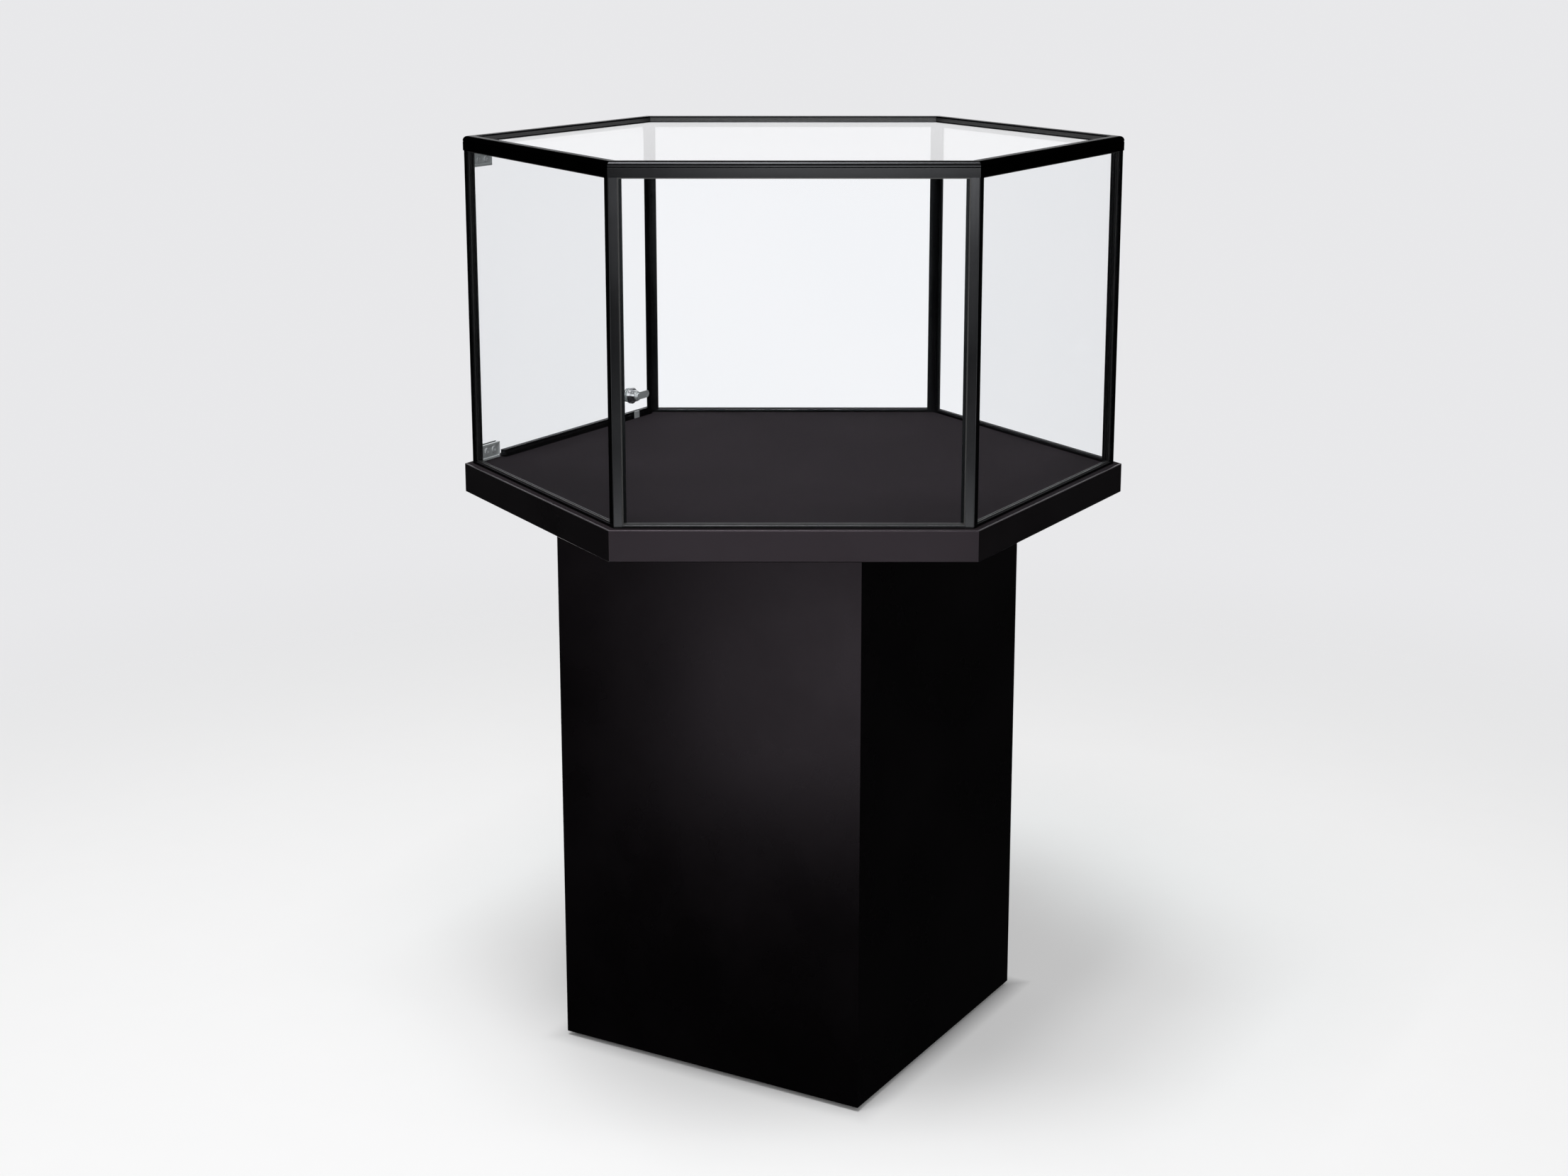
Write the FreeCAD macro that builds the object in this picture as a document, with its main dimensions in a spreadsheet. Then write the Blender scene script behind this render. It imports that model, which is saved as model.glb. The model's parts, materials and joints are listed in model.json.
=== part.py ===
import FreeCAD, Part
import operator
import os
from math import cos, radians, sin

import Sketcher

# Hexagonal glass display case with one hinged, lockable glass door, on a square pedestal.
# The origin is the middle of the floor under the pedestal, +Z is up and the door faces +Y.
# Lengths are in millimetres.

SIZES = {
    # Pedestal: four mitred panels round two boards and four corner blocks
    "pedestal_side": 465.0,
    "pedestal_height": 761.0,
    "panel_thickness": 18.0,
    "board_thickness": 18.0,
    "block_side": 30.0,
    "block_screw_end": 60.0,
    "block_screw_stagger": 25.0,
    "block_screw_bite": 12.0,
    "board_screw_bite": 30.0,
    "wood_screw_radius": 2.0,
    "wood_screw_head_radius": 4.0,
    "wood_screw_head_height": 2.4,
    "glide_height": 6.0,
    "glide_radius": 14.0,
    "glide_inset": 40.0,
    "glide_pin_radius": 2.5,
    "glide_pin_length": 12.0,
    # Deck: a hexagonal board with an edge band on each side
    "deck_radius": 450.0,
    "deck_thickness": 40.0,
    "band_thickness": 2.0,
    "band_edge_radius": 1.2,
    "deck_screw_offset": 140.0,
    "deck_screw_bite": 22.0,
    # Corner posts, measured along and behind their outer faces
    "frame_setback": 9.5,
    "post_height": 426.0,
    "post_web": 7.5,
    "post_lip": 10.5,
    "post_leg": 15.5,
    "post_facet": 9.5,
    "post_corner_radius": 1.5,
    "lip_thickness": 2.0,
    "slot_width": 6.4,
    "leg_thickness": 2.2,
    "port_distance": 8.0,
    "port_screw_radius": 1.8,
    "port_screw_bite": 20.0,
    "port_screw_head_radius": 3.6,
    "port_screw_head_height": 2.2,
    "stop_gap": 0.9,
    # Top rails, with a chamber for the corner keys and a ledge for the top pane
    "rail_height": 19.0,
    "rail_width": 14.7,
    "rail_overhang": 1.0,
    "rail_edge_radius": 6.0,
    "rail_pocket": 5.0,
    "groove_drop": 7.0,
    "groove_width": 1.2,
    "groove_depth": 0.8,
    "ledge_reach": 7.3,
    "ledge_thickness": 2.5,
    "chamber_floor": 9.2,
    "chamber_height": 5.8,
    "chamber_outer_wall": 3.2,
    "chamber_inner_wall": 2.2,
    "key_length": 45.0,
    "key_height": 3.0,
    # Bottom rails and the sill inside the door
    "bottom_rail_height": 4.2,
    "bottom_rail_floor": 0.8,
    "bottom_rail_inset": 0.3,
    "sill_height": 10.0,
    "sill_depth": 9.0,
    "sill_step_height": 6.0,
    "sill_step_depth": 2.0,
    "sill_gap": 1.0,
    "sill_hinge_end": 57.0,
    # Glazing
    "pane_thickness": 4.0,
    "gasket_edge": 1.0,
    "gasket_lip": 1.6,
    "top_pane_thickness": 5.0,
    "top_pane_recess": 4.5,
    "top_gasket_bed": 1.0,
    "top_gasket_side": 1.5,
    "top_gasket_rise": 2.2,
    # Door pane and its two pivot clamps
    "door_thickness": 5.0,
    "door_setback": 1.5,
    "door_edge_gap": 1.5,
    "door_lift": 4.5,
    "clamp_length": 44.0,
    "clamp_height": 22.0,
    "clamp_plate": 3.4,
    "clamp_base": 3.5,
    "clamp_chamfer": 2.0,
    "clamp_border": 3.2,
    "clamp_recess": 0.8,
    "pad_thickness": 0.5,
    "pivot_inset": 9.0,
    "pin_radius": 2.0,
    "pin_reach": 5.5,
    "pin_recess": 0.5,
    "bush_wall": 1.5,
    "bush_length": 6.0,
    "bush_flange_radius": 6.0,
    "bush_flange_height": 0.7,
    "set_screw_radius": 4.5,
    "set_screw_spacing": 16.0,
    "set_screw_proud": 0.6,
    "socket_radius": 2.5,
    "socket_depth": 2.4,
    # Cam lock in the door and its keeper on the sill
    "lock_inset": 58.0,
    "lock_height": 33.5,
    "barrel_radius": 8.0,
    "barrel_reach": 11.0,
    "barrel_head_radius": 11.0,
    "barrel_head_height": 2.5,
    "glass_hole_gap": 0.5,
    "outer_washer": 0.5,
    "inner_washer": 1.0,
    "nut_radius": 12.0,
    "nut_height": 4.0,
    "nut_chamfer": 1.0,
    "plug_radius": 5.5,
    "plug_recess": 0.3,
    "plug_tail_radius": 3.0,
    "key_slot_width": 1.4,
    "key_slot_height": 7.0,
    "key_slot_depth": 8.0,
    "cam_gap": 0.5,
    "cam_thickness": 1.5,
    "cam_length": 30.0,
    "cam_width": 11.0,
    "cam_boss_radius": 7.0,
    "cam_screw_radius": 2.0,
    "cam_screw_length": 8.0,
    "cam_screw_head_radius": 4.5,
    "cam_screw_head_height": 2.0,
    "keeper_width": 12.5,
    "keeper_height": 10.0,
    "keeper_lift": 0.6,
    "keeper_thickness": 1.0,
    "keeper_screw_radius": 1.2,
    "keeper_screw_length": 6.0,
    "keeper_screw_head_radius": 2.0,
    "keeper_screw_head_height": 0.7,
    "keeper_screw_spacing": 6.4,
    # Clearances, and how far a cutting shape runs past what it cuts
    "seat_clearance": 0.05,
    "running_clearance": 0.05,
    "screw_clearance": 0.1,
    "mitre_gap": 0.1,
    "overrun": 1.0,
}

COS30 = cos(radians(30))
SIN30 = 0.5
TAN30 = SIN30 / COS30
CORNER_TURNS = range(0, 360, 60)
SQUARE_TURNS = range(0, 360, 90)
SIDES = ("front", "front_right", "back_right", "door", "back_left", "front_left")
SIDE_TURNS = dict(zip(SIDES, CORNER_TURNS))
FIXED_SIDES = [side for side in SIDES if side != "door"]
DOOR_TURN = SIDE_TURNS["door"]

TILTS = {
    "x": FreeCAD.Rotation(FreeCAD.Vector(0, 1, 0), 90),
    "y": FreeCAD.Rotation(FreeCAD.Vector(1, 0, 0), -90),
    "z": FreeCAD.Rotation(),
    "-y": FreeCAD.Rotation(FreeCAD.Vector(1, 0, 0), 90),
    "-z": FreeCAD.Rotation(FreeCAD.Vector(1, 0, 0), 180),
}
OPERATIONS = {
    "+": operator.add,
    "-": operator.sub,
    "*": operator.mul,
    "/": operator.truediv,
}


class Size:
    """A length, held both as its value and as the sheet formula that works it out."""

    def __init__(self, value, formula):
        self.value = value
        self.formula = formula

    def __add__(self, other):
        return combine(self, "+", other)

    def __sub__(self, other):
        return combine(self, "-", other)

    def __mul__(self, other):
        return combine(self, "*", other)

    def __truediv__(self, other):
        return combine(self, "/", other)

    def __neg__(self):
        return Size(-self.value, f"(-{self.formula})")


def as_size(item):
    """A plain number as a size; a size as it is."""
    if isinstance(item, Size):
        return item
    return Size(item, f"({item:.12f})")


def combine(left, sign, right):
    """The size that an operation on two sizes gives."""
    left = as_size(left)
    right = as_size(right)
    value = OPERATIONS[sign](left.value, right.value)
    return Size(value, f"({left.formula} {sign} {right.formula})")


class Sheet:
    """The driving sizes, written to a spreadsheet and read back by name."""

    def __init__(self, document, values):
        table = document.addObject("Spreadsheet::Sheet", "Sizes")
        for row, (name, value) in enumerate(values.items(), start=1):
            table.set(f"A{row}", name)
            table.set(f"B{row}", str(value))
            table.setAlias(f"B{row}", name)
            setattr(self, name, Size(value, f"Sizes.{name}"))
        document.recompute()


doc = FreeCAD.newDocument("display_case")
dim = Sheet(doc, SIZES)
nodes = []

# Heights above the floor
PEDESTAL_BASE = dim.glide_height
DECK_BASE = PEDESTAL_BASE + dim.pedestal_height
DECK_TOP = DECK_BASE + dim.deck_thickness
RAIL_BASE = DECK_TOP + dim.post_height
LEDGE_RISE = dim.rail_height - dim.top_pane_recess - dim.top_pane_thickness - dim.top_gasket_bed

# Plan of the frame: the hexagon of the posts' outer faces, and depths behind those faces
FRAME_APOTHEM = dim.deck_radius * COS30 - dim.frame_setback
FRAME_RADIUS = FRAME_APOTHEM / COS30
HALF_SIDE = FRAME_RADIUS / 2
SLOT_BACK = dim.lip_thickness + dim.slot_width
POST_DEPTH = SLOT_BACK + dim.leg_thickness
RAIL_BACK = dim.rail_width - dim.rail_overhang
LEDGE_BACK = RAIL_BACK + dim.ledge_reach

# Plan of the door: its edges, its pivot and the lock's axis
DOOR_BACK = dim.door_setback + dim.door_thickness
DOOR_EDGE = dim.post_web + dim.door_edge_gap
PIVOT_ALONG = DOOR_EDGE + dim.pivot_inset
PIVOT_DEPTH = dim.door_setback + dim.door_thickness / 2
STOP_DEPTH = DOOR_BACK + dim.stop_gap
SILL_FRONT = DOOR_BACK + dim.sill_gap
SILL_BACK = SILL_FRONT + dim.sill_depth


def bind(item, name, size):
    """Tie one property of an object to a size."""
    item.setExpression(name, as_size(size).formula)


def place(item, point, turn=0, along="z"):
    """Put an object at a point, tipped to lie along an axis, then turned about the middle of the plan."""
    x, y, z = (as_size(part) for part in point)
    across = cos(radians(turn))
    beside = sin(radians(turn))
    spot = (x * across - y * beside, x * beside + y * across, z)
    base = FreeCAD.Vector(*(part.value for part in spot))
    swing = FreeCAD.Rotation(FreeCAD.Vector(0, 0, 1), turn)
    item.Placement = FreeCAD.Placement(base, swing.multiply(TILTS[along]))
    for axis, size in zip("xyz", spot):
        bind(item, f"Placement.Base.{axis}", size)


def node(name, item):
    """Name a finished sub-part and keep it for the hand-over."""
    item.Label = name
    nodes.append(item)


def box(low, high, turn=0):
    """A block between two corners."""
    item = doc.addObject("Part::Box", "block")
    for name, start, end in zip(("Length", "Width", "Height"), low, high):
        bind(item, name, as_size(end) - start)
    place(item, low, turn)
    return item


def cylinder(start, radius, length, along="z", turn=0):
    """A round bar from a point along an axis."""
    item = doc.addObject("Part::Cylinder", "round_bar")
    bind(item, "Radius", radius)
    bind(item, "Height", length)
    place(item, start, turn, along)
    return item


def fused(*items):
    """Several shapes as one solid."""
    joined = doc.addObject("Part::MultiFuse", "joined")
    joined.Shapes = list(items)
    return joined


def group(items):
    """Separate solids that share a node."""
    bundle = doc.addObject("Part::Compound", "bundle")
    bundle.Links = list(items)
    return bundle


def cut(base, *tools):
    """A shape with others taken out of it, one after another."""
    for tool in tools:
        remainder = doc.addObject("Part::Cut", "cut")
        remainder.Base = base
        remainder.Tool = tool
        base = remainder
    return base


def flat_screw(start, along, length, radius, head_radius, head_height, grow=0, turn=0):
    """A countersunk screw with its flat top at start, or its hole where grow is a clearance."""
    head = doc.addObject("Part::Cone", "screw_head")
    bind(head, "Radius1", head_radius + grow)
    bind(head, "Radius2", radius + grow)
    bind(head, "Height", head_height)
    place(head, start, turn, along)
    stem = cylinder(start, radius + grow, length + grow, along, turn)
    return fused(head, stem)


def pan_screw(start, along, length, radius, head_radius, head_height, grow=0, turn=0):
    """A screw with a round flat head whose top is at start, or its hole where grow is a clearance."""
    head = cylinder(start, head_radius + grow, head_height, along, turn)
    stem = cylinder(start, radius + grow, length + grow, along, turn)
    return fused(head, stem)


def hold_point(sketch, line, end, point):
    """Tie a sketched point to its two distances from the origin."""
    for kind, size in zip(("DistanceX", "DistanceY"), point):
        number = sketch.addConstraint(Sketcher.Constraint(kind, -1, 1, line, end, size.value))
        bind(sketch, f"Constraints[{number}]", size)


def draw_outline(sketch, points):
    """A closed outline through points, each tied to the origin."""
    points = [(as_size(x), as_size(y)) for x, y in points]
    corners = [FreeCAD.Vector(x.value, y.value, 0) for x, y in points]
    pairs = zip(corners, corners[1:] + corners[:1])
    lines = list(sketch.addGeometry([Part.LineSegment(start, end) for start, end in pairs]))
    for line, following in zip(lines, lines[1:] + lines[:1]):
        sketch.addConstraint(Sketcher.Constraint("Coincident", line, 2, following, 1))
    for line, point in zip(lines, points):
        hold_point(sketch, line, 1, point)


def draw_circle(sketch, x, y, radius):
    """A circle with its middle tied to the origin."""
    point = (as_size(x), as_size(y))
    middle = FreeCAD.Vector(point[0].value, point[1].value, 0)
    circle = sketch.addGeometry(Part.Circle(middle, FreeCAD.Vector(0, 0, 1), radius.value))
    hold_point(sketch, circle, 3, point)
    number = sketch.addConstraint(Sketcher.Constraint("Radius", circle, radius.value))
    bind(sketch, f"Constraints[{number}]", radius)


def new_sketch(body, role, outlines, circles=()):
    """A sketch on one of a body's own planes."""
    plane = next(item for item in body.Origin.OriginFeatures if item.Role == role)
    sketch = body.newObject("Sketcher::SketchObject", "outline")
    sketch.AttachmentSupport = (plane, "")
    sketch.MapMode = "FlatFace"
    for points in outlines:
        draw_outline(sketch, points)
    for circle in circles:
        draw_circle(sketch, *circle)
    return sketch


def extruded(role, outlines, length, circles=(), both_ways=False):
    """A body drawn on one plane and drawn out from it, or equally to both sides of it."""
    body = doc.addObject("PartDesign::Body", "body")
    sketch = new_sketch(body, role, outlines, circles)
    pad = body.newObject("PartDesign::Pad", "pad")
    pad.Profile = sketch
    pad.SideType = "Symmetric" if both_ways else "One side"
    bind(pad, "Length", length)
    doc.recompute()
    return body


def nearest_edge(shape, spot):
    """The name of the edge whose middle is nearest to a place."""
    reaches = [edge.CenterOfMass.distanceToPoint(spot) for edge in shape.Edges]
    return f"Edge{reaches.index(min(reaches)) + 1}"


def rounded(body, spots, radius):
    """Round the edges of a body whose middles are nearest to some places."""
    before = body.Tip
    names = []
    for spot in spots:
        middle = FreeCAD.Vector(*(as_size(part).value for part in spot))
        names.append(nearest_edge(before.Shape, middle))
    rounding = body.newObject("PartDesign::Fillet", "rounding")
    rounding.Base = (before, names)
    bind(rounding, "Radius", radius)
    doc.recompute()


def side_x(along, hand):
    """Place along a side, measured inward from the frame's corner at its +x (1) or -x (-1) end."""
    return (HALF_SIDE - along) * hand


def side_y(depth):
    """Depth behind the posts' outer face, on the side that faces -Y before it is turned."""
    return as_size(depth) - FRAME_APOTHEM


def corner_point(along, depth, hand):
    """A point of the corner on +X: how far along one of its two faces it is, and how far behind it."""
    along = as_size(along)
    depth = as_size(depth)
    x = FRAME_RADIUS - along * SIN30 - depth * COS30
    y = (along * COS30 - depth * SIN30) * hand
    return x, y


def corner_middle(depth):
    """Where the bisector of the corner on +X is at a depth behind both faces."""
    return FRAME_RADIUS - as_size(depth) / COS30


def hexagon(apothem):
    """The six corners of a hexagon with a corner on +X."""
    radius = as_size(apothem) / COS30
    return [(radius * cos(radians(turn)), radius * sin(radians(turn))) for turn in CORNER_TURNS]


def hexagon_prism(apothem, base, height):
    """A hexagonal slab with its underside at a height."""
    slab = extruded("XY_Plane", [hexagon(apothem)], height)
    place(slab, (0, 0, base))
    return slab


def all_round(turns, make, grow=0):
    """The solids of a thing that is repeated about the middle of the plan."""
    return group(solid for turn in turns for solid in make(grow, turn))


# Pedestal
HALF_PEDESTAL = dim.pedestal_side / 2
PEDESTAL_INSIDE = HALF_PEDESTAL - dim.panel_thickness
BLOCK_INSIDE = PEDESTAL_INSIDE - dim.block_side
BLOCK_MIDDLE = PEDESTAL_INSIDE - dim.block_side / 2
BLOCK_BASE = PEDESTAL_BASE + dim.board_thickness
BLOCK_TOP = DECK_BASE - dim.board_thickness
GLIDE_PLACE = HALF_PEDESTAL - dim.glide_inset
WOOD_SCREW = (dim.wood_screw_radius, dim.wood_screw_head_radius, dim.wood_screw_head_height)


def block_screws(grow=0, turn=0):
    """The screws of the corner block at +X +Y: two into each panel, one pair above the other."""
    length = dim.block_side + dim.block_screw_bite
    screws = []
    for height in (BLOCK_BASE + dim.block_screw_end, BLOCK_TOP - dim.block_screw_end):
        lifted = height + dim.block_screw_stagger
        spots = [("x", (BLOCK_INSIDE, BLOCK_MIDDLE, height)), ("y", (BLOCK_MIDDLE, BLOCK_INSIDE, lifted))]
        for along, spot in spots:
            screws.append(flat_screw(spot, along, length, *WOOD_SCREW, grow, turn))
    return screws


def board_screws(grow=0, turn=0):
    """The screws that hold both boards to the ends of the corner block at +X +Y."""
    length = dim.board_thickness + dim.board_screw_bite
    ends = [("z", PEDESTAL_BASE), ("-z", DECK_BASE)]
    spots = [(along, (BLOCK_MIDDLE, BLOCK_MIDDLE, height)) for along, height in ends]
    return [flat_screw(spot, along, length, *WOOD_SCREW, grow, turn) for along, spot in spots]


def deck_screws(grow=0, turn=0):
    """A screw up through the top board into the deck."""
    spot = (dim.deck_screw_offset, dim.deck_screw_offset, BLOCK_TOP)
    length = dim.board_thickness + dim.deck_screw_bite
    return [flat_screw(spot, "z", length, *WOOD_SCREW, grow, turn)]


def glide_pins(grow=0, turn=0):
    """The nail of a glide, driven up into the bottom board."""
    spot = (GLIDE_PLACE, GLIDE_PLACE, PEDESTAL_BASE)
    return [cylinder(spot, dim.glide_pin_radius + grow, dim.glide_pin_length + grow, "z", turn)]


def corner_blocks(grow=0, turn=0):
    """The square batten inside the corner at +X +Y, before it is drilled."""
    low = (BLOCK_INSIDE, BLOCK_INSIDE, BLOCK_BASE)
    high = (PEDESTAL_INSIDE + grow, PEDESTAL_INSIDE + grow, BLOCK_TOP)
    return [box(low, high, turn)]


def floor_glides(grow=0, turn=0):
    """A round foot with its nail."""
    foot = cylinder((GLIDE_PLACE, GLIDE_PLACE, 0), dim.glide_radius, dim.glide_height, "z", turn)
    return [fused(foot, *glide_pins(grow, turn))]


def build_pedestal():
    """Panels, boards, corner blocks, their screws and the floor glides."""
    block_holes = all_round(SQUARE_TURNS, block_screws, dim.screw_clearance)
    board_holes = all_round(SQUARE_TURNS, board_screws, dim.screw_clearance)
    deck_holes = all_round(SQUARE_TURNS, deck_screws, dim.screw_clearance)
    pin_holes = all_round(SQUARE_TURNS, glide_pins, dim.screw_clearance)
    outline = [
        (-HALF_PEDESTAL, -HALF_PEDESTAL),
        (HALF_PEDESTAL, -HALF_PEDESTAL),
        (PEDESTAL_INSIDE, -PEDESTAL_INSIDE),
        (-PEDESTAL_INSIDE, -PEDESTAL_INSIDE),
    ]
    for name, turn in zip(("front", "right", "back", "left"), SQUARE_TURNS):
        panel = extruded("XY_Plane", [outline], dim.pedestal_height)
        place(panel, (0, 0, PEDESTAL_BASE), turn)
        node(f"pedestal_{name}_panel", cut(panel, block_holes))

    reach = PEDESTAL_INSIDE - dim.seat_clearance
    bottom = box((-reach, -reach, PEDESTAL_BASE), (reach, reach, BLOCK_BASE))
    node("pedestal_bottom_board", cut(bottom, board_holes, pin_holes))
    top = box((-reach, -reach, BLOCK_TOP), (reach, reach, DECK_BASE))
    node("pedestal_top_board", cut(top, board_holes, deck_holes))
    node("pedestal_corner_blocks", cut(all_round(SQUARE_TURNS, corner_blocks), block_holes, board_holes))
    node("pedestal_block_screws", all_round(SQUARE_TURNS, block_screws))
    node("pedestal_board_screws", all_round(SQUARE_TURNS, board_screws))
    node("floor_glides", all_round(SQUARE_TURNS, floor_glides))


# Deck
PORT_X = FRAME_RADIUS - dim.port_distance
PORT_HOLE = dim.port_screw_radius + dim.screw_clearance
PORT_SCREW = (dim.port_screw_radius, dim.port_screw_head_radius, dim.port_screw_head_height)
BUSH_RADIUS = dim.pin_radius + dim.running_clearance + dim.bush_wall
BUSH_HOLE = BUSH_RADIUS + dim.seat_clearance
BUSH_HOLE_DEPTH = dim.bush_length + dim.overrun


def post_screws(grow=0, turn=0):
    """A long screw up through the deck into the port of the post on +X."""
    length = dim.deck_thickness + dim.port_screw_bite
    return [pan_screw((PORT_X, 0, DECK_BASE), "z", length, *PORT_SCREW, grow, turn)]


def edge_bands(grow=0, turn=0):
    """The mitred band on the deck's edge that faces -Y."""
    half_outer = dim.deck_radius / 2
    half_inner = half_outer - dim.band_thickness * TAN30
    outer = -dim.deck_radius * COS30
    inner = outer + dim.band_thickness + grow
    outline = [(-half_outer, outer), (half_outer, outer), (half_inner, inner), (-half_inner, inner)]
    band = extruded("XY_Plane", [outline], dim.deck_thickness)
    rounded(band, [(0, outer, 0), (0, outer, dim.deck_thickness)], dim.band_edge_radius)
    place(band, (0, 0, DECK_BASE), turn)
    return [band]


def pivot_point(height):
    """The door's pivot, on the side that faces -Y before it is turned."""
    return side_x(PIVOT_ALONG, 1), side_y(PIVOT_DEPTH), height


def build_deck():
    """The deck board, its edge bands and the screws that hold the pedestal and the posts."""
    board = hexagon_prism(dim.deck_radius * COS30 - dim.band_thickness, DECK_BASE, dim.deck_thickness)
    deck_holes = all_round(SQUARE_TURNS, deck_screws, dim.screw_clearance)
    post_holes = all_round(CORNER_TURNS, post_screws, dim.screw_clearance)
    bush_low = pivot_point(DECK_TOP - BUSH_HOLE_DEPTH)
    bush_hole = cylinder(bush_low, BUSH_HOLE, BUSH_HOLE_DEPTH + dim.overrun, "z", DOOR_TURN)
    node("deck_board", cut(board, deck_holes, post_holes, bush_hole))
    node("deck_edge_bands", all_round(CORNER_TURNS, edge_bands))
    node("deck_screws", all_round(SQUARE_TURNS, deck_screws))
    node("post_base_screws", all_round(CORNER_TURNS, post_screws))


# Posts
def glazed_half():
    """Half of a post's section where a fixed pane's slot is, from the outer corner inward."""
    return [
        (dim.post_lip, 0),
        (dim.post_lip, dim.lip_thickness),
        (dim.post_web, dim.lip_thickness),
        (dim.post_web, SLOT_BACK),
        (dim.post_leg, SLOT_BACK),
        (dim.post_leg, POST_DEPTH),
        (dim.post_facet, POST_DEPTH),
    ]


def hinge_half():
    """Half of a post's section beside the door's pivots: a plain wall."""
    return [(dim.post_web, 0), (dim.post_web, POST_DEPTH)]


def lock_half():
    """Half of a post's section at the door's free edge: a wall, and a leg that stops the door."""
    return [
        (dim.post_web, 0),
        (dim.post_web, STOP_DEPTH),
        (dim.post_leg, STOP_DEPTH),
        (dim.post_leg, POST_DEPTH),
        (dim.post_facet, POST_DEPTH),
    ]


def build_posts():
    """Six extruded corner posts, two of them shaped for the door."""
    kinds = {
        "right_post": (0, glazed_half, glazed_half),
        "lock_post": (60, lock_half, glazed_half),
        "hinge_post": (120, glazed_half, hinge_half),
        "left_post": (180, glazed_half, glazed_half),
        "front_left_post": (240, glazed_half, glazed_half),
        "front_right_post": (300, glazed_half, glazed_half),
    }
    for name, (turn, next_half, last_half) in kinds.items():
        outline = [corner_point(0, 0, 1)]
        outline += [corner_point(along, depth, 1) for along, depth in next_half()]
        outline += [corner_point(along, depth, -1) for along, depth in reversed(last_half())]
        post = extruded("XY_Plane", [outline], dim.post_height, [(PORT_X, 0, PORT_HOLE)])
        rounded(post, [(FRAME_RADIUS, 0, dim.post_height / 2)], dim.post_corner_radius)
        place(post, (0, 0, DECK_TOP), turn)
        node(name, post)


# Top frame
CHAMBER_FRONT = dim.chamber_outer_wall - dim.rail_overhang
CHAMBER_BACK = RAIL_BACK - dim.chamber_inner_wall
CHAMBER_TOP = dim.chamber_floor + dim.chamber_height


def rail_section(pocketed):
    """A top rail's outline, with a slot for a pane's top edge where there is a fixed pane."""
    outer = side_y(-dim.rail_overhang)
    groove = dim.rail_height - dim.groove_drop
    ledge_under = LEDGE_RISE - dim.ledge_thickness
    outline = [
        (outer, 0),
        (outer, groove - dim.groove_width / 2),
        (outer + dim.groove_depth, groove),
        (outer, groove + dim.groove_width / 2),
        (outer, dim.rail_height),
        (side_y(RAIL_BACK), dim.rail_height),
        (side_y(RAIL_BACK), LEDGE_RISE),
        (side_y(LEDGE_BACK), LEDGE_RISE),
        (side_y(LEDGE_BACK), ledge_under),
        (side_y(POST_DEPTH), ledge_under),
        (side_y(POST_DEPTH), 0),
    ]
    if pocketed:
        outline += [
            (side_y(SLOT_BACK), 0),
            (side_y(SLOT_BACK), dim.rail_pocket),
            (side_y(dim.lip_thickness), dim.rail_pocket),
            (side_y(dim.lip_thickness), 0),
        ]
    return outline


def top_rail(pocketed):
    """A hollow rail on the side that faces -Y, rounded along its outer top edge and mitred."""
    chamber = [
        (side_y(CHAMBER_FRONT), dim.chamber_floor),
        (side_y(CHAMBER_BACK), dim.chamber_floor),
        (side_y(CHAMBER_BACK), CHAMBER_TOP),
        (side_y(CHAMBER_FRONT), CHAMBER_TOP),
    ]
    front = FRAME_APOTHEM + dim.rail_overhang + dim.overrun
    back = FRAME_APOTHEM - LEDGE_BACK - dim.overrun
    half_length = front * TAN30
    body = extruded("YZ_Plane", [rail_section(pocketed), chamber], half_length * 2, both_ways=True)

    rounded(body, [(0, side_y(-dim.rail_overhang), dim.rail_height)], dim.rail_edge_radius)

    half_gap = dim.mitre_gap / 2 / COS30
    far = half_length + dim.overrun
    mitres = []
    for hand in (1, -1):
        mitres.append([
            ((back * TAN30 - half_gap) * hand, -back),
            (far * hand, -back),
            (far * hand, -front),
            ((front * TAN30 - half_gap) * hand, -front),
        ])
    pocket = body.newObject("PartDesign::Pocket", "mitres")
    pocket.Profile = new_sketch(body, "XY_Plane", mitres)
    pocket.Type = "ThroughAll"
    pocket.SideType = "Symmetric"
    doc.recompute()
    return body


def corner_keys(grow=0, turn=0):
    """The bent key in the rails' chambers at the corner on +X."""
    front = CHAMBER_FRONT + dim.seat_clearance
    back = CHAMBER_BACK - dim.seat_clearance
    outline = [
        (corner_middle(front), 0),
        corner_point(dim.key_length, front, 1),
        corner_point(dim.key_length, back, 1),
        (corner_middle(back), 0),
        corner_point(dim.key_length, back, -1),
        corner_point(dim.key_length, front, -1),
    ]
    key = extruded("XY_Plane", [outline], dim.key_height, [(PORT_X, 0, PORT_HOLE + grow)])
    place(key, (0, 0, RAIL_BASE + dim.chamber_floor), turn)
    return [key]


def key_screws(grow=0, turn=0):
    """A screw down through a corner key and the rails into the port of the post on +X."""
    head_top = dim.chamber_floor + dim.key_height + dim.port_screw_head_height
    spot = (PORT_X, 0, RAIL_BASE + head_top)
    return [pan_screw(spot, "-z", head_top + dim.port_screw_bite, *PORT_SCREW, grow, turn)]


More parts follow.
